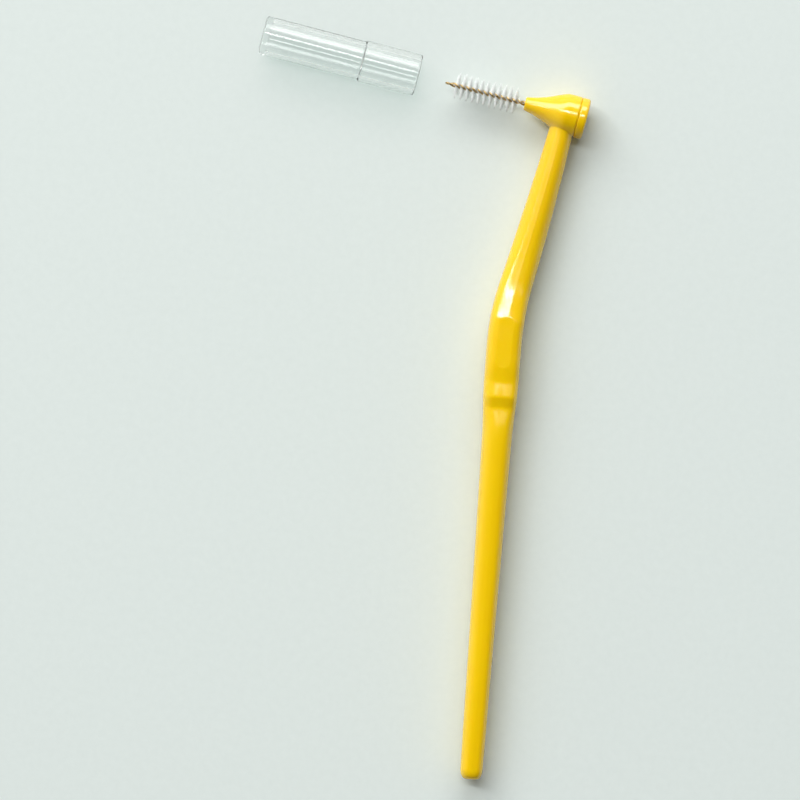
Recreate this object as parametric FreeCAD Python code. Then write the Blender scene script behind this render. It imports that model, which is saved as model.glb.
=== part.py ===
import FreeCAD, Part
import math
import os

# An angled interdental brush lying on its side, with its clear cap pulled off and laid in line with the wire.
# Lengths are in millimetres and angles in degrees. The shank runs along Y with the head towards +Y, and the
# wire points to -X. The flat on the underside of the grip lies on Z = 0, with the origin in its middle.

# Centre line of the handle: a straight shank, a knee that starts at the middle of the grip, and a neck that
# eases back a little before it meets the head.
knee_length = 9.4
knee_lean_angle = 13.3
neck_length = 25.25
head_lean_angle = 10.35

# Grip and knee. The flats are cut on a grip that is a little fuller than its finished depth.
grip_width = 5.05
grip_depth = 6.0
grip_excess = 0.1
flat_half_length = 4.0
knee_width = 4.72
knee_depth = 4.9

# Below the flats the side of the grip dips, rises to a ridge and drops into a valley before the shank.
dip_run = 0.9
dip_depth = 5.6
ridge_run = 2.2
ridge_width = 4.96
ridge_depth = 5.95
valley_run = 1.5
valley_width = 4.75
valley_depth = 5.15
shoulder_run = 3.4

# Shank, from the shoulder under the valley to the tail.
shank_length = 49.9
shank_width = 4.4
shank_depth = 5.6
tail_width = 3.2
tail_depth = 3.8
tail_round = 0.9
tail_end_shares = (0.4, 0.8)

# Neck where it meets the head.
neck_width = 3.35
neck_depth = 3.7

# Between two named sections: how far along the run, and how far the width and depth have changed by there.
shank_shares = ((0.88, 0.86, 0.9), (0.6, 0.63, 0.62), (0.3, 0.33, 0.3), (0.1, 0.12, 0.1))
neck_shares = ((0.35, 0.3, 0.4), (0.7, 0.68, 0.75))

# How far the curves of a section's outline reach to its corners: 0.55 is an ellipse, and 1 is the squarest.
grip_fullness_share = 0.88
shank_fullness_share = 0.74
neck_fullness_share = 0.57

# Widest spacing of the rows of poles along the handle, fewest rows in a stretch, and the degree of its surface.
row_step = 0.6
stretch_rows = 5
surface_degree = 3

# Head: a flared nose on the wire's axis, measured from where the neck's centre line crosses that axis.
head_diameter = 6.0
head_back_margin = 0.15
nose_reach = 6.03
nose_diameter = 1.9
nose_round_share = 0.25
flare_start_share = 0.1
flare_pull_share = 0.2
nose_pull_share = 0.42
nose_swell_share = 0.32
seam_chamfer = 0.14

# Plug that closes the head from behind and holds the tail of the wire.
plug_flange_diameter = 5.9
plug_flange_thickness = 1.25
plug_back_round_share = 0.3
plug_spigot_diameter = 2.6
plug_spigot_length = 3.2
plug_clearance = 0.02

# Wire: one strand folded at the tip, its two legs twisted together with the filaments clamped between them.
strand_diameter = 0.3
twist_length = 1.7
loop_radius = 0.26
loop_ease = 0.9
wire_root = 0.85
wire_end = 0.25
wire_clearance = 0.03
wire_anchor_margin = 0.5

# Filaments, in rows of half a twist each.
bristle_rows = 11
bristle_diameter = 3.9
filament_diameter = 0.08
filament_gap = 0.012
filament_clearance = 0.01

# Cap, pulled off the wire.
cap_gap = 4.0
cap_length = 23.0
cap_wall = 0.65
cap_end_wall = 1.0
cap_collar_length = 8.2
cap_collar_wall = 0.85
cap_brush_clearance = 0.2
cap_edge_round_share = 0.4

# How far a cutting tool runs past the face that it cuts.
overrun = 1.0

# Places that follow from the sizes above.
mid_height = grip_depth / 2
head_back = neck_width / 2 + head_back_margin
leg_offset = (strand_diameter + filament_diameter) / 2 + filament_clearance
wire_radius = leg_offset + strand_diameter / 2
row_length = twist_length / 2
plug_front = plug_spigot_length - head_back
wire_tail = wire_anchor_margin - head_back - plug_flange_thickness
bristles_start = nose_reach + wire_root
ease_start = bristles_start + bristle_rows * row_length + wire_end
loop_start = ease_start + loop_ease
wire_tip = loop_start + loop_radius + strand_diameter / 2
cap_bore_radius = bristle_diameter / 2 + cap_brush_clearance

vec = FreeCAD.Vector
up = vec(0, 0, 1)
along = vec(1, 0, 0)


def blend(start, end, share):
    """The value a share of the way from start to end."""
    return start + (end - start) * share


def bend(place, lean_from, lean_to, length):
    """Where a run of the centre line ends, if its lean from Y changes evenly along it."""
    start = math.radians(lean_from)
    end = math.radians(lean_to)
    radius = length / (end - start)
    across = radius * (math.cos(start) - math.cos(end))
    forward = radius * (math.sin(end) - math.sin(start))
    return place + vec(across, forward, 0)


def spine(distance):
    """The handle's centre line at a distance from the middle of the grip: its place and its lean."""
    middle = vec(0, 0, mid_height)
    if distance <= 0:
        return middle + vec(0, distance, 0), 0
    if distance <= knee_length:
        lean = knee_lean_angle * distance / knee_length
        return bend(middle, 0, lean, distance), lean
    knee_end = bend(middle, 0, knee_lean_angle, knee_length)
    beyond = distance - knee_length
    lean = blend(knee_lean_angle, head_lean_angle, beyond / neck_length)
    return bend(knee_end, knee_lean_angle, lean, beyond), lean


def section_poles(distance, width, depth, fullness):
    """Poles of an oval across the centre line: four cubic quarters that grow squarer with their fullness."""
    centre, lean = spine(distance)
    across = vec(math.cos(math.radians(lean)), -math.sin(math.radians(lean)), 0) * (width / 2)
    upward = up * (depth / 2)
    ends = [across, upward, across * -1, upward * -1]
    quarters = []
    for start, end in zip(ends, ends[1:] + ends[:1]):
        offsets = [start, start + end * fullness, start * fullness + end, end]
        quarters.append([centre + offset for offset in offsets])
    return quarters


def handle_stretches():
    """The handle's named sections, tail first: distance along the centre line, width, depth and fullness.

    They come in smooth stretches that meet at soft creases across the grip.
    """
    full_depth = grip_depth + grip_excess
    dip = (-flat_half_length - dip_run, grip_width, dip_depth, grip_fullness_share)
    ridge = (dip[0] - ridge_run, ridge_width, ridge_depth, grip_fullness_share)
    valley = (ridge[0] - valley_run, valley_width, valley_depth, grip_fullness_share)
    shoulder = valley[0] - shoulder_run
    shank = [(shoulder - shank_length, tail_width, tail_depth, shank_fullness_share)]
    for share, width_share, depth_share in shank_shares:
        width = blend(shank_width, tail_width, width_share)
        depth = blend(shank_depth, tail_depth, depth_share)
        shank.append((shoulder - share * shank_length, width, depth, shank_fullness_share))
    shank += [(shoulder, shank_width, shank_depth, shank_fullness_share), valley]
    flat_start = (-flat_half_length / 2, grip_width, full_depth, grip_fullness_share)
    flat_end = (flat_half_length, grip_width, full_depth, grip_fullness_share)
    neck = [flat_end, (knee_length, knee_width, knee_depth, shank_fullness_share)]
    for share, width_share, depth_share in neck_shares:
        width = blend(knee_width, neck_width, width_share)
        depth = blend(knee_depth, neck_depth, depth_share)
        neck.append((knee_length + share * neck_length, width, depth, neck_fullness_share))
    neck.append((knee_length + neck_length, neck_width, neck_depth, neck_fullness_share))
    return [shank, [valley, ridge], [ridge, dip], [dip, flat_start, flat_end], neck]


def eased(places, values, place):
    """The value at a place on the smooth curve through the values that makes no hump between two of them."""
    slopes = [(b - a) / (q - p) for a, b, p, q in zip(values, values[1:], places, places[1:])]
    inner = [2 * s * t / (s + t) if s * t > 0 else 0 for s, t in zip(slopes, slopes[1:])]
    tangents = [slopes[0]] + inner + [slopes[-1]]
    index = max(i for i in range(len(slopes)) if places[i] <= place)
    run = places[index + 1] - places[index]
    share = (place - places[index]) / run
    rise = values[index + 1] - values[index]
    entry = tangents[index] * run
    leave = tangents[index + 1] * run
    bow = entry + (3 * rise - 2 * entry - leave) * share + (entry + leave - 2 * rise) * share**2
    return values[index] + bow * share


def handle_rows():
    """Rows of poles for the handle's surface, from the rounded tail to the head's axis."""
    stretches = handle_stretches()
    tail = stretches[0][0][0]
    rows = []
    for share in tail_end_shares:
        rows.append((tail, share * tail_width, share * tail_depth, shank_fullness_share))
    first = tail + tail_round
    for stretch in stretches:
        places, *sizes = zip(*stretch)
        count = max(stretch_rows, math.ceil((places[-1] - first) / row_step))
        stops = [blend(first, places[-1], step / count) for step in range(count)]
        rows += [(stop, *(eased(places, values, stop) for values in sizes)) for stop in stops]
        first = places[-1]
    return [section_poles(*row) for row in rows + [stretches[-1][-1]]]


def quarter_face(rows):
    """A smooth surface on rows of four poles."""
    ends = surface_degree + 1
    spans = len(rows) - surface_degree
    surface = Part.BSplineSurface()
    surface.buildFromPolesMultsKnots(
        rows,
        [ends] + [1] * (spans - 1) + [ends],
        [ends, ends],
        list(range(spans + 1)),
        [0, 1],
        False,
        False,
        surface_degree,
        surface_degree,
    )
    return surface.toShape()


def oval_face(quarters):
    """The flat face inside a closed oval."""
    edges = []
    for poles in quarters:
        curve = Part.BezierCurve()
        curve.setPoles(poles)
        edges.append(curve.toShape())
    return Part.Face(Part.Wire(edges))


def stem():
    """The handle without its head and its flats, as a solid between two flat ends."""
    rows = handle_rows()
    faces = [quarter_face(list(side)) for side in zip(*rows)]
    shell = Part.Shell(faces + [oval_face(rows[0]), oval_face(rows[-1])])
    shell.sewShape()
    return Part.Solid(shell)


def head_frame():
    """The frame of the head: X along the wire to its tip, from where the neck's centre line crosses it."""
    centre, lean = spine(knee_length + neck_length)
    return FreeCAD.Placement(centre, FreeCAD.Rotation(up, 180 - lean))


def place_on_head(shape):
    """The shape moved from the head's frame to the part's frame."""
    return shape.transformed(head_frame().toMatrix(), True)


def turned(outline):
    """The solid that an outline of edges on one side of the X axis makes when turned round that axis."""
    return Part.Face(Part.Wire(outline)).revolve(vec(0, 0, 0), along, 360)


def lines(points):
    """Straight edges from point to point, with each point given as its place along X and its radius."""
    spots = [vec(x, -radius, 0) for x, radius in points]
    return [Part.makeLine(a, b) for a, b in zip(spots, spots[1:])]


def rounded(shape, x, radius, round_radius):
    """The turned shape with a round on its circular edge at the given place along X and radius."""
    spot = Part.Vertex(x, -radius, 0)
    rims = [edge for edge in shape.Edges if edge.Closed and edge.distToShape(spot)[0] < round_radius / 2]
    return shape.makeFillet(round_radius, rims)


def bored(shape, x_from, x_to, radius):
    """The shape with a hole along the X axis."""
    return shape.cut(Part.makeCylinder(radius, x_to - x_from, vec(x_from, 0, 0), along))


def flared_head():
    """The head's outer form: a short drum that sweeps down to the nose."""
    drum = head_diameter / 2
    nose = nose_diameter / 2
    flare_x = -head_back * flare_start_share
    poles = [
        (flare_x, drum),
        (blend(flare_x, nose_reach, flare_pull_share), drum),
        (blend(flare_x, nose_reach, nose_pull_share), blend(nose, drum, nose_swell_share)),
        (nose_reach, nose),
    ]
    flare = Part.BezierCurve()
    flare.setPoles([vec(x, -radius, 0) for x, radius in poles])
    back = [
        (-head_back, 0),
        (-head_back, drum - seam_chamfer),
        (seam_chamfer - head_back, drum),
        (flare_x, drum),
    ]
    front = [(nose_reach, nose), (nose_reach, 0), (-head_back, 0)]
    head = turned(lines(back) + [flare.toShape()] + lines(front))
    return rounded(head, nose_reach, nose, nose_round_share * nose)


def handle():
    """The yellow moulding: shank, grip with its two flats, neck and head, bored for the plug and the wire."""
    grip = stem()
    box = grip.BoundBox
    corner = vec(box.XMin - overrun, box.YMin - overrun, 0)
    slab = Part.makeBox(box.XLength + 2 * overrun, box.YLength + 2 * overrun, grip_depth, corner)
    moulding = grip.common(slab).fuse(place_on_head(flared_head()))
    socket = Part.makeCylinder(
        plug_spigot_diameter / 2 + plug_clearance,
        plug_spigot_length + plug_clearance + overrun,
        vec(-head_back - overrun, 0, 0),
        along,
    )
    wire_hole = Part.makeCylinder(wire_radius + wire_clearance, nose_reach + head_back, vec(0, 0, 0), along)
    return moulding.cut([place_on_head(socket), place_on_head(wire_hole)])


def head_plug():
    """The plug: a flange that shows behind the head, and a spigot with a blind hole for the wire's tail."""
    back = -head_back - plug_flange_thickness
    flange = plug_flange_diameter / 2
    spigot = plug_spigot_diameter / 2
    outline = [
        (back, 0),
        (back, flange),
        (-head_back - seam_chamfer, flange),
        (-head_back, flange - seam_chamfer),
        (-head_back, spigot),
        (plug_front - seam_chamfer, spigot),
        (plug_front, spigot - seam_chamfer),
        (plug_front, 0),
        (back, 0),
    ]
    plug = rounded(turned(lines(outline)), back, flange, plug_back_round_share * plug_flange_thickness)
    wire_hole = wire_radius + wire_clearance
    return place_on_head(bored(plug, wire_tail - wire_clearance, plug_front + overrun, wire_hole))


def twist_at(x):
    """The turn of the wire's legs about the axis at a place along it, in radians, and its rate."""
    full_rate = 2 * math.pi / twist_length
    if x <= ease_start:
        return full_rate * (x - ease_start), full_rate
    beyond = x - ease_start
    return full_rate * (beyond - beyond**2 / (2 * loop_ease)), full_rate * (1 - beyond / loop_ease)


def leg_at(x):
    """One leg of the wire at a place along the axis: the point and the direction of travel."""
    turn, rate = twist_at(x)
    share = max(0, (x - ease_start) / loop_ease)
    spread = loop_radius - leg_offset
    offset = leg_offset + spread * share**2 * (3 - 2 * share)
    widening = spread * 6 * share * (1 - share) / loop_ease
    outward = vec(0, math.cos(turn), math.sin(turn))
    sideways = vec(0, -math.sin(turn), math.cos(turn))
    return along * x + outward * offset, (along + outward * widening + sideways * (offset * rate)).normalize()


def leg_stops():
    """Places along the axis, at most a quarter turn apart, from the wire's tail to the start of the loop."""
    steps = math.ceil((ease_start - wire_tail) / (twist_length / 4))
    twisted = [blend(wire_tail, ease_start, step / steps) for step in range(steps)]
    ease_steps = math.ceil(loop_ease / (twist_length / 4))
    return twisted + [blend(ease_start, loop_start, step / ease_steps) for step in range(ease_steps + 1)]


def arc(start, corner, end):
    """The arc from start to end whose end tangents meet at the corner, as far from one as from the other."""
    chord_middle = (start + end) * 0.5
    half_chord = (end - start).Length / 2
    slope = math.acos(min(1, half_chord / (corner - start).Length))
    rise = (corner - chord_middle).normalize() * (half_chord * math.tan(slope / 2))
    return Part.Arc(start, chord_middle + rise, end).toShape()


def biarc(start, start_way, end, end_way):
    """Two tangent arcs between two points with given directions."""
    gap = end - start
    ways = start_way + end_way
    bow = 2 * (1 - start_way.dot(end_way))
    reach = (math.sqrt(gap.dot(ways) ** 2 + bow * gap.dot(gap)) - gap.dot(ways)) / bow
    first_corner = start + start_way * reach
    second_corner = end - end_way * reach
    middle = (first_corner + second_corner) * 0.5
    return [arc(start, first_corner, middle), arc(middle, second_corner, end)]


def core_wire():
    """The folded and twisted wire, as one unbroken tube."""
    leg = [leg_at(x) for x in leg_stops()]
    half_turn = FreeCAD.Rotation(along, 180)
    returning = [(half_turn.multVec(point), half_turn.multVec(way) * -1) for point, way in reversed(leg)]
    edges = []
    for (start, start_way), (end, end_way) in zip(leg, leg[1:]):
        edges += biarc(start, start_way, end, end_way)
    tip = along * (loop_start + loop_radius)
    edges.append(Part.Arc(leg[-1][0], tip, returning[0][0]).toShape())
    for (start, start_way), (end, end_way) in zip(returning, returning[1:]):
        edges += biarc(start, start_way, end, end_way)
    strand = Part.Wire([Part.makeCircle(strand_diameter / 2, *leg[0])])
    return place_on_head(Part.Wire(edges).makePipeShell([strand], True, False))


def bristle_row(row):
    """The filaments of half a twist, each straight through the axis between the wire's two legs."""
    spacing = filament_diameter + filament_gap
    count = int(row_length // spacing)
    middle = bristles_start + (row + 0.5) * row_length
    filaments = []
    for index in range(count):
        x = middle + (index - (count - 1) / 2) * spacing
        turn, _ = twist_at(x)
        way = vec(0, -math.sin(turn), math.cos(turn))
        start = along * x - way * (bristle_diameter / 2)
        filaments.append(Part.makeCylinder(filament_diameter / 2, bristle_diameter, start, way))
    return place_on_head(Part.makeCompound(filaments))


def protective_cap():
    """The clear cap: a tube with a thicker collar at its mouth and a closed far end."""
    mouth = wire_tip + cap_gap
    end = mouth + cap_length
    tube = cap_bore_radius + cap_wall
    collar = cap_bore_radius + cap_collar_wall
    step = collar - tube
    collar_end = mouth + cap_collar_length
    outline = [
        (mouth, cap_bore_radius),
        (mouth, collar),
        (collar_end, collar),
        (collar_end + step, tube),
        (end, tube),
        (end, 0),
        (end - cap_end_wall, 0),
        (end - cap_end_wall, cap_bore_radius),
        (mouth, cap_bore_radius),
    ]
    cap = rounded(turned(lines(outline)), end, tube, cap_edge_round_share * cap_end_wall)
    return place_on_head(rounded(cap, mouth, collar, cap_edge_round_share * cap_collar_wall))


pieces = {
    "handle": handle(),
    "head_plug": head_plug(),
    "core_wire": core_wire(),
    "protective_cap": protective_cap(),
}
for row in range(bristle_rows):
    pieces[f"bristle_row_{row + 1:02d}"] = bristle_row(row)

os.makedirs("parts", exist_ok=True)
for name, shape in pieces.items():
    shape.exportStep(f"parts/{name}.step")
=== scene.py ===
import math
import random

import bpy
from mathutils import Matrix, Quaternion, Vector


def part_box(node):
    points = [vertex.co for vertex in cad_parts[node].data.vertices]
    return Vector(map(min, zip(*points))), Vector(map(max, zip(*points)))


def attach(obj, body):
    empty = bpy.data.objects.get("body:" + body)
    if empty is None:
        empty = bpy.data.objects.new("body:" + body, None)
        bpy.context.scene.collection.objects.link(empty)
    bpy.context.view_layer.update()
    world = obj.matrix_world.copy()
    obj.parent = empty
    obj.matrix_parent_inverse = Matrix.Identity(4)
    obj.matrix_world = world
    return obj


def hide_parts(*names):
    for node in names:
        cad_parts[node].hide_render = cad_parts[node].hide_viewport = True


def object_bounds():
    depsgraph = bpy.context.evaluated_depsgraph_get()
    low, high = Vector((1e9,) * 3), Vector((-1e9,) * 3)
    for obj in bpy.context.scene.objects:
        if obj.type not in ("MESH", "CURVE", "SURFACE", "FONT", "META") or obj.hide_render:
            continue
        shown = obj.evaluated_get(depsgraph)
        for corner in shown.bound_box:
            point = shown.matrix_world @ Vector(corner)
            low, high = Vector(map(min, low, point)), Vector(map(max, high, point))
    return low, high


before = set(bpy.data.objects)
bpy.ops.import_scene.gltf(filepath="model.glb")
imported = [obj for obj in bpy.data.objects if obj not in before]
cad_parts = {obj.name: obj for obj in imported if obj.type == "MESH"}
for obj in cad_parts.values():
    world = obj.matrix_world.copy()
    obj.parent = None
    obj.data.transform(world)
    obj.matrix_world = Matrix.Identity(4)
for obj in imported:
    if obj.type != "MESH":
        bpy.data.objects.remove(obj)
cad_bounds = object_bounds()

# An angled interdental brush lies on its side on a pale surface, with its clear cap pulled off in line with
# the wire. Lengths are in metres and angles in degrees.
MM = 0.001

# The shank leans this far to the right of the picture's upright, and the wire this far from X.
PICTURE_ROLL = 4.38
WIRE_LEAN = 10.35

# Filaments: thinner and closer together than the solids, and a little uneven. The tilt is a slope.
RANDOM_SEED = 7
FILAMENTS_PER_ROW = 16
FILAMENT_RADIUS = 0.025 * MM
FILAMENT_SIDES = 5
CLAMPED_RADIUS = 0.42 * MM
FILAMENT_RINGS = 5
SHORTEST_SHARE = 0.93
STRAY_TILT = 0.075
MIDDLE_REACH = 0.02 * MM

# Two tones of each material, the range of its roughness, and the tint of light that the cap lets through.
HANDLE_TONES = ((0.93, 0.615, 0.001), (0.9, 0.565, 0.001))
# The plug's two tones are a deeper copy of the handle's yellow: painted shade on the plug.
PLUG_TONES_WITH_PAINTED_SHADE = ((0.92, 0.595, 0.001), (0.89, 0.545, 0.001))
PLASTIC_ROUGHNESS = (0.11, 0.17)
WIRE_TONES = ((0.66, 0.49, 0.25), (0.4, 0.27, 0.11))
WIRE_ROUGHNESS = (0.24, 0.38)
NYLON_TONES = ((0.95, 0.965, 0.96), (0.88, 0.91, 0.9))
NYLON_ROUGHNESS = (0.2, 0.34)
CAP_TONES = ((1.0, 1.0, 1.0), (0.985, 0.992, 0.99))
CAP_ROUGHNESS = (0.015, 0.05)
CAP_SHADOW = (0.92, 0.94, 0.935, 1)
FLOOR_TONES = ((0.7, 0.765, 0.735), (0.68, 0.745, 0.715))

# What stays the same all over each material.
PLASTIC = {
    "IOR": 1.49,
    "Specular IOR Level": 0.86,
    "Subsurface Weight": 0.12,
    "Subsurface Radius": (1.0, 0.45, 0.05),
    "Subsurface Scale": 0.9 * MM,
}
WIRE = {"Metallic": 1.0}
NYLON = {"IOR": 1.53, "Transmission Weight": 0.15}
CAP = {"IOR": 1.46, "Transmission Weight": 1.0}
FLOOR = {"Roughness": 0.75, "Specular IOR Level": 0.25}

# Small relief: the rounds on edges, the skin of the plastic, its parting line at half the grip's depth, the
# wire's draw lines and the cap's flow. A pair holds a bump's strength and its height.
EDGE_RADIUS = 0.3 * MM
EDGE_SAMPLES = 6
SKIN_RELIEF = (0.06, 0.01 * MM)
LINE_RELIEF = (0.35, 0.015 * MM)
LINE_HEIGHT = 3 * MM
LINE_HALF_WIDTH = 0.05 * MM
DRAW_RELIEF = (0.12, 0.01 * MM)
FLOW_RELIEF = (0.008, 0.02 * MM)

# The range in which nearly all noise values lie.
NOISE_RANGE = (0.3, 0.7)

# Places of the colour sockets on a mix node.
MIX_FIRST = 6
MIX_SECOND = 7
MIX_RESULT = 2

# The surface that the brush lies on reaches far past the picture.
FLOOR_HALF = 2.5
FLOOR_HEIGHT = -0.02 * MM

# Lamps. The level ones overhead are turned about the upright, and their edges are angles from straight up,
# to the left and to the top. The wall lamp is turned to the left and raised, and its half sizes are angles.
LAMP_DISTANCE = 2
PANELS = (
    {"name": "key_light", "turn": -12, "left": (-3, 46), "top": (12.3, 17.3), "radiance": 18},
    {"name": "band_light", "turn": 0, "left": (-40, 11), "top": (5.8, 10.6), "radiance": 1.05},
)
WALL_LEFT = 12
WALL_RISE = 36
WALL_HALF_WIDTH = 36
WALL_HALF_HEIGHT = 13
WALL_RADIANCE = 5

# The room is darkest where a direction is most against this one, and brightest where it is most along it.
ROOM_WAY = (-0.28, 0.42, -0.7)
ROOM_RANGE = (-0.7, 0.55)
ROOM_LEVELS = (0.03, 0.98)
BACK_COLOUR = (0.84, 0.88, 0.86, 1)

# The camera looks straight down and takes in this width.
VIEW_WIDTH = 115 * MM
LENS = 220
SENSOR_WIDTH = 36
CLIP_RANGE = (0.01, 20)


def new_material(name, values):
    """A new material, its empty node tree's nodes and linking function, and its main shader."""
    material = bpy.data.materials.new(name)
    material.use_nodes = True
    tree = material.node_tree
    tree.nodes.clear()
    shader = tree.nodes.new("ShaderNodeBsdfPrincipled")
    for socket, value in values.items():
        shader.inputs[socket].default_value = value
    return material, tree.nodes, tree.links.new, shader


def object_noise(nodes, link, scale, detail=3.0, roughness=0.5, stretch=(1, 1, 1), turn=0):
    """Noise in the object's own coordinates, turned about Z. Its scale is in features per metre."""
    place = nodes.new("ShaderNodeTexCoord")
    mapping = nodes.new("ShaderNodeMapping")
    mapping.inputs["Scale"].default_value = stretch
    mapping.inputs["Rotation"].default_value = (0, 0, math.radians(turn))
    noise = nodes.new("ShaderNodeTexNoise")
    noise.inputs["Scale"].default_value = scale
    noise.inputs["Detail"].default_value = detail
    noise.inputs["Roughness"].default_value = roughness
    link(place.outputs["Object"], mapping.inputs["Vector"])
    link(mapping.outputs["Vector"], noise.inputs["Vector"])
    return noise.outputs["Fac"]


def ranged(nodes, link, value, source, target):
    """A value carried over evenly from one range to another."""
    span = nodes.new("ShaderNodeMapRange")
    span.inputs["From Min"].default_value = source[0]
    span.inputs["From Max"].default_value = source[1]
    span.inputs["To Min"].default_value = target[0]
    span.inputs["To Max"].default_value = target[1]
    link(value, span.inputs["Value"])
    return span


def spread(nodes, link, noise, target):
    """A noise value spread evenly over a range."""
    return ranged(nodes, link, noise, NOISE_RANGE, target).outputs["Result"]


def two_tones(nodes, link, noise, tones):
    """A colour between two tones."""
    mix = nodes.new("ShaderNodeMix")
    mix.data_type = "RGBA"
    mix.inputs[MIX_FIRST].default_value = (*tones[0], 1)
    mix.inputs[MIX_SECOND].default_value = (*tones[1], 1)
    link(spread(nodes, link, noise, (0, 1)), mix.inputs["Factor"])
    return mix.outputs[MIX_RESULT]


def raised(nodes, link, height, relief, normal=None):
    """A bump from a height, on top of another normal if one is given."""
    bump = nodes.new("ShaderNodeBump")
    bump.inputs["Strength"].default_value = relief[0]
    bump.inputs["Distance"].default_value = relief[1]
    link(height, bump.inputs["Height"])
    if normal is not None:
        link(normal, bump.inputs["Normal"])
    return bump.outputs["Normal"]


def surface(nodes, link, shader):
    """Makes the shader what the material shows."""
    output = nodes.new("ShaderNodeOutputMaterial")
    link(shader, output.inputs["Surface"])


def two_values(nodes, link, operation, first, second):
    """The result of a maths operation on two values. The second is a socket or a number."""
    result = nodes.new("ShaderNodeMath")
    result.operation = operation
    link(first, result.inputs[0])
    if isinstance(second, (int, float)):
        result.inputs[1].default_value = second
    else:
        link(second, result.inputs[1])
    return result.outputs["Value"]


def parting_line(nodes, link):
    """1 on a fine level line round the moulding, falling to 0 at the line's edges."""
    place = nodes.new("ShaderNodeTexCoord")
    split = nodes.new("ShaderNodeSeparateXYZ")
    link(place.outputs["Object"], split.inputs["Vector"])
    off = two_values(nodes, link, "SUBTRACT", split.outputs["Z"], LINE_HEIGHT)
    away = nodes.new("ShaderNodeMath")
    away.operation = "ABSOLUTE"
    link(off, away.inputs[0])
    line = ranged(nodes, link, away.outputs["Value"], (0, LINE_HALF_WIDTH), (1, 0))
    line.interpolation_type = "SMOOTHSTEP"
    return line.outputs["Result"]


def moulded_plastic(name, tones, with_line):
    """Glossy plastic with a faint flow in its colour, a soft skin and small rounds on its edges."""
    material, nodes, link, shader = new_material(name, PLASTIC)
    flow = object_noise(nodes, link, scale=90, detail=4, stretch=(1, 0.35, 1))
    link(two_tones(nodes, link, flow, tones), shader.inputs["Base Color"])
    cloud = object_noise(nodes, link, scale=700, detail=5, roughness=0.6)
    link(spread(nodes, link, cloud, PLASTIC_ROUGHNESS), shader.inputs["Roughness"])
    edges = nodes.new("ShaderNodeBevel")
    edges.samples = EDGE_SAMPLES
    edges.inputs["Radius"].default_value = EDGE_RADIUS
    skin = object_noise(nodes, link, scale=1800, detail=2)
    normal = raised(nodes, link, skin, SKIN_RELIEF, edges.outputs["Normal"])
    if with_line:
        normal = raised(nodes, link, parting_line(nodes, link), LINE_RELIEF, normal)
    link(normal, shader.inputs["Normal"])
    surface(nodes, link, shader.outputs["BSDF"])
    return material


def drawn_wire(name):
    """Warm drawn metal with fine lengthwise draw lines and a mottled tint."""
    material, nodes, link, shader = new_material(name, WIRE)
    mottle = object_noise(nodes, link, scale=1500, detail=4, roughness=0.6)
    link(two_tones(nodes, link, mottle, WIRE_TONES), shader.inputs["Base Color"])
    lines = object_noise(nodes, link, scale=2500, detail=3, stretch=(0.12, 1, 1), turn=WIRE_LEAN)
    link(spread(nodes, link, lines, WIRE_ROUGHNESS), shader.inputs["Roughness"])
    link(raised(nodes, link, lines, DRAW_RELIEF), shader.inputs["Normal"])
    surface(nodes, link, shader.outputs["BSDF"])
    return material


def clear_nylon(name):
    """Clear nylon with a slight haze."""
    material, nodes, link, shader = new_material(name, NYLON)
    haze = object_noise(nodes, link, scale=1200, detail=3)
    link(two_tones(nodes, link, haze, NYLON_TONES), shader.inputs["Base Color"])
    link(spread(nodes, link, haze, NYLON_ROUGHNESS), shader.inputs["Roughness"])
    surface(nodes, link, shader.outputs["BSDF"])
    return material


def clear_cap(name):
    """Clear hard plastic that lets light through to what lies under it."""
    material, nodes, link, shader = new_material(name, CAP)
    flow = object_noise(nodes, link, scale=260, detail=3, stretch=(0.3, 1, 1), turn=WIRE_LEAN)
    link(two_tones(nodes, link, flow, CAP_TONES), shader.inputs["Base Color"])
    link(spread(nodes, link, flow, CAP_ROUGHNESS), shader.inputs["Roughness"])
    link(raised(nodes, link, flow, FLOW_RELIEF), shader.inputs["Normal"])
    through = nodes.new("ShaderNodeBsdfTransparent")
    through.inputs["Color"].default_value = CAP_SHADOW
    ray = nodes.new("ShaderNodeLightPath").outputs
    either = two_values(nodes, link, "MAXIMUM", ray["Is Shadow Ray"], ray["Is Diffuse Ray"])
    mix = nodes.new("ShaderNodeMixShader")
    link(either, mix.inputs["Fac"])
    link(shader.outputs["BSDF"], mix.inputs[1])
    link(through.outputs["BSDF"], mix.inputs[2])
    surface(nodes, link, mix.outputs["Shader"])
    return material


def pale_board(name):
    """A pale matt board with a faint grain."""
    material, nodes, link, shader = new_material(name, FLOOR)
    grain = object_noise(nodes, link, scale=900, detail=4, roughness=0.65)
    link(two_tones(nodes, link, grain, FLOOR_TONES), shader.inputs["Base Color"])
    surface(nodes, link, shader.outputs["BSDF"])
    return material


def add_object(name, data):
    """A new object in the scene."""
    item = bpy.data.objects.new(name, data)
    bpy.context.scene.collection.objects.link(item)
    return item


def dress(node, material):
    """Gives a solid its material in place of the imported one."""
    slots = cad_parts[node].data.materials
    slots.clear()
    slots.append(material)


def centre_of(node):
    """The middle of a node's box."""
    low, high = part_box(node)
    return (low + high) / 2


def filament_way(node, wire_way):
    """The direction of the filament in the middle of a row."""
    middle = centre_of(node)
    spots = [vertex.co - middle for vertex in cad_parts[node].data.vertices]
    near = [spot for spot in spots if abs(spot.dot(wire_way)) < MIDDLE_REACH]
    tip = max(near, key=lambda spot: spot.length)
    tip -= wire_way * tip.dot(wire_way)
    return tip.normalized()


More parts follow.
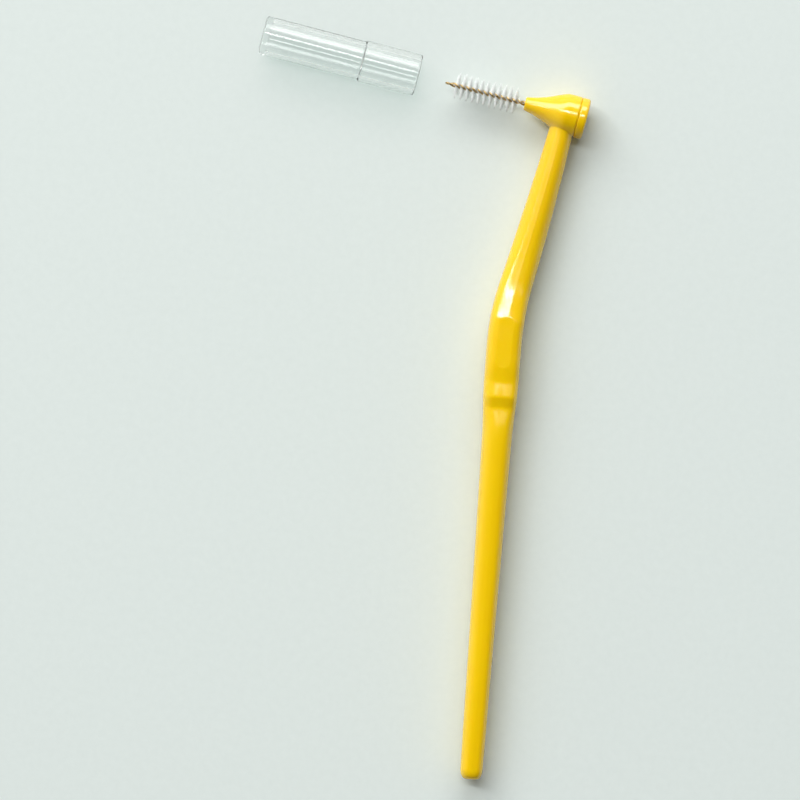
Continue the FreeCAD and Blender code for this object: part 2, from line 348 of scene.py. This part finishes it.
def filament_points(middle, way, wire_way, reach):
    """Points along one side of a filament: straight where it is clamped, then slightly bent."""
    side = wire_way.cross(way)
    lean = random.uniform(-STRAY_TILT, STRAY_TILT)
    swing = random.uniform(-STRAY_TILT, STRAY_TILT)
    points = [middle, middle + way * CLAMPED_RADIUS]
    for ring in range(1, FILAMENT_RINGS + 1):
        share = ring / FILAMENT_RINGS
        out = CLAMPED_RADIUS + (reach - CLAMPED_RADIUS) * share
        stray = (reach - CLAMPED_RADIUS) * share * share
        points.append(middle + way * out + wire_way * (lean * stray) + side * (swing * stray))
    return points


def add_tube(vertices, faces, points):
    """A thin tube along the points, closed at both ends."""
    start = len(vertices)
    count = len(points)
    for index, point in enumerate(points):
        ahead = points[min(index + 1, count - 1)] - points[max(index - 1, 0)]
        turn = ahead.to_track_quat("Z", "X")
        for side in range(FILAMENT_SIDES):
            angle = 2 * math.pi * side / FILAMENT_SIDES
            spot = Vector((math.cos(angle), math.sin(angle), 0)) * FILAMENT_RADIUS
            vertices.append(point + turn @ spot)
    for ring in range(count - 1):
        for side in range(FILAMENT_SIDES):
            a = start + ring * FILAMENT_SIDES + side
            b = start + ring * FILAMENT_SIDES + (side + 1) % FILAMENT_SIDES
            faces.append((a, b, b + FILAMENT_SIDES, a + FILAMENT_SIDES))
    faces.append(tuple(start + side for side in reversed(range(FILAMENT_SIDES))))
    last = start + (count - 1) * FILAMENT_SIDES
    faces.append(tuple(last + side for side in range(FILAMENT_SIDES)))


def filament_row(number, node, wire_way, row_length, material):
    """The filaments of one row, fanned round the wire with its twist of half a turn."""
    middle = centre_of(node)
    middle_way = filament_way(node, wire_way)
    low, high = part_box(node)
    full_reach = (high.z - low.z) / 2
    vertices = []
    faces = []
    for index in range(FILAMENTS_PER_ROW):
        share = (index + 0.5) / FILAMENTS_PER_ROW - 0.5
        place = middle + wire_way * (share * row_length)
        way = Quaternion(wire_way, math.pi * share) @ middle_way
        out = filament_points(place, way, wire_way, full_reach * random.uniform(SHORTEST_SHARE, 1))
        back = filament_points(place, -way, wire_way, full_reach * random.uniform(SHORTEST_SHARE, 1))
        add_tube(vertices, faces, list(reversed(back[1:])) + out)
    mesh = bpy.data.meshes.new(f"filaments_{number:02d}")
    mesh.from_pydata(vertices, [], faces)
    mesh.shade_smooth()
    mesh.materials.append(material)
    row = add_object(mesh.name, mesh)
    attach(row, "brush")
    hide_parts(node)


def add_filaments():
    """All the rows of filaments, from the head to the tip of the wire."""
    rows = sorted(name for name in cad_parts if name.startswith("bristle_row_"))
    along = centre_of(rows[-1]) - centre_of(rows[0])
    wire_way = along.normalized()
    row_length = along.length / (len(rows) - 1)
    nylon = clear_nylon("clear_nylon")
    for number, node in enumerate(rows, 1):
        filament_row(number, node, wire_way, row_length, nylon)


def add_floor():
    """The surface that the brush lies on."""
    mesh = bpy.data.meshes.new("floor")
    corners = ((-1, -1), (1, -1), (1, 1), (-1, 1))
    spots = [(x * FLOOR_HALF, y * FLOOR_HALF, FLOOR_HEIGHT) for x, y in corners]
    mesh.from_pydata(spots, [], [(0, 1, 2, 3)])
    mesh.materials.append(pale_board("pale_board"))
    floor = add_object("floor", mesh)


def add_lamp(name, place, turn, width, height, radiance):
    """A soft rectangular lamp that looks equally bright at any size."""
    lamp = bpy.data.lights.new(name, "AREA")
    lamp.shape = "RECTANGLE"
    lamp.size = width
    lamp.size_y = height
    lamp.energy = radiance * math.pi * width * height
    holder = add_object(name, lamp)
    holder.location = place
    holder.rotation_euler = turn


def offset_at(angle):
    """How far from straight overhead a lamp's edge lies, if it is seen at an angle from there."""
    return LAMP_DISTANCE * math.tan(math.radians(angle))


def add_panel(middle, name, turn, left, top, radiance):
    """A level lamp overhead."""
    left_from, left_to = (offset_at(angle) for angle in left)
    top_from, top_to = (offset_at(angle) for angle in top)
    centre = Vector((-(left_from + left_to) / 2, (top_from + top_to) / 2, LAMP_DISTANCE))
    roll = Matrix.Rotation(math.radians(turn), 3, "Z")
    place = Vector((middle.x, middle.y, 0)) + roll @ centre
    add_lamp(name, place, (0, 0, math.radians(turn)), left_to - left_from, top_to - top_from, radiance)


def add_wall(middle):
    """A lamp that faces the object from the top of the picture."""
    turn = math.radians(PICTURE_ROLL + WALL_LEFT)
    rise = math.radians(WALL_RISE)
    way = Vector((-math.sin(turn) * math.cos(rise), math.cos(turn) * math.cos(rise), math.sin(rise)))
    facing = (-way).to_track_quat("-Z", "Y").to_euler()
    width = 2 * offset_at(WALL_HALF_WIDTH)
    height = 2 * offset_at(WALL_HALF_HEIGHT)
    add_lamp("wall_light", middle + way * LAMP_DISTANCE, facing, width, height, WALL_RADIANCE)


def studio_world():
    """A plain room: dark overhead, paler towards the upper left horizon, and pale behind the object."""
    world = bpy.data.worlds.new("studio")
    world.use_nodes = True
    nodes = world.node_tree.nodes
    link = world.node_tree.links.new
    nodes.clear()
    place = nodes.new("ShaderNodeTexCoord")
    facing = nodes.new("ShaderNodeVectorMath")
    facing.operation = "DOT_PRODUCT"
    facing.inputs[1].default_value = ROOM_WAY
    link(place.outputs["Generated"], facing.inputs[0])
    level = ranged(nodes, link, facing.outputs["Value"], ROOM_RANGE, ROOM_LEVELS)
    room = nodes.new("ShaderNodeBackground")
    link(level.outputs["Result"], room.inputs["Color"])
    back = nodes.new("ShaderNodeBackground")
    back.inputs["Color"].default_value = BACK_COLOUR
    path = nodes.new("ShaderNodeLightPath")
    mix = nodes.new("ShaderNodeMixShader")
    link(path.outputs["Is Camera Ray"], mix.inputs["Fac"])
    link(room.outputs["Background"], mix.inputs[1])
    link(back.outputs["Background"], mix.inputs[2])
    output = nodes.new("ShaderNodeOutputWorld")
    link(mix.outputs["Shader"], output.inputs["Surface"])
    bpy.context.scene.world = world


def add_camera(middle):
    """The camera straight above the part's middle."""
    data = bpy.data.cameras.new("camera")
    data.sensor_width = SENSOR_WIDTH
    data.lens = LENS
    data.clip_start, data.clip_end = CLIP_RANGE
    camera = add_object("camera", data)
    camera.location = (middle.x, middle.y, VIEW_WIDTH * LENS / SENSOR_WIDTH)
    camera.rotation_euler = (0, 0, math.radians(PICTURE_ROLL))
    bpy.context.scene.camera = camera


random.seed(RANDOM_SEED)
dress("handle", moulded_plastic("yellow_plastic", HANDLE_TONES, with_line=True))
# The plug gets the handle's plastic, with painted shade in its deeper yellow.
dress("head_plug", moulded_plastic("plug_plastic_painted_shade", PLUG_TONES_WITH_PAINTED_SHADE, with_line=False))
dress("core_wire", drawn_wire("warm_wire"))
dress("protective_cap", clear_cap("clear_cap"))
add_filaments()
add_floor()

part_middle = (cad_bounds[0] + cad_bounds[1]) / 2
for panel in PANELS:
    add_panel(part_middle, **panel)
add_wall(part_middle)
studio_world()
add_camera(part_middle)
bpy.context.scene.view_settings.view_transform = "Standard"

bpy.context.view_layer.update()
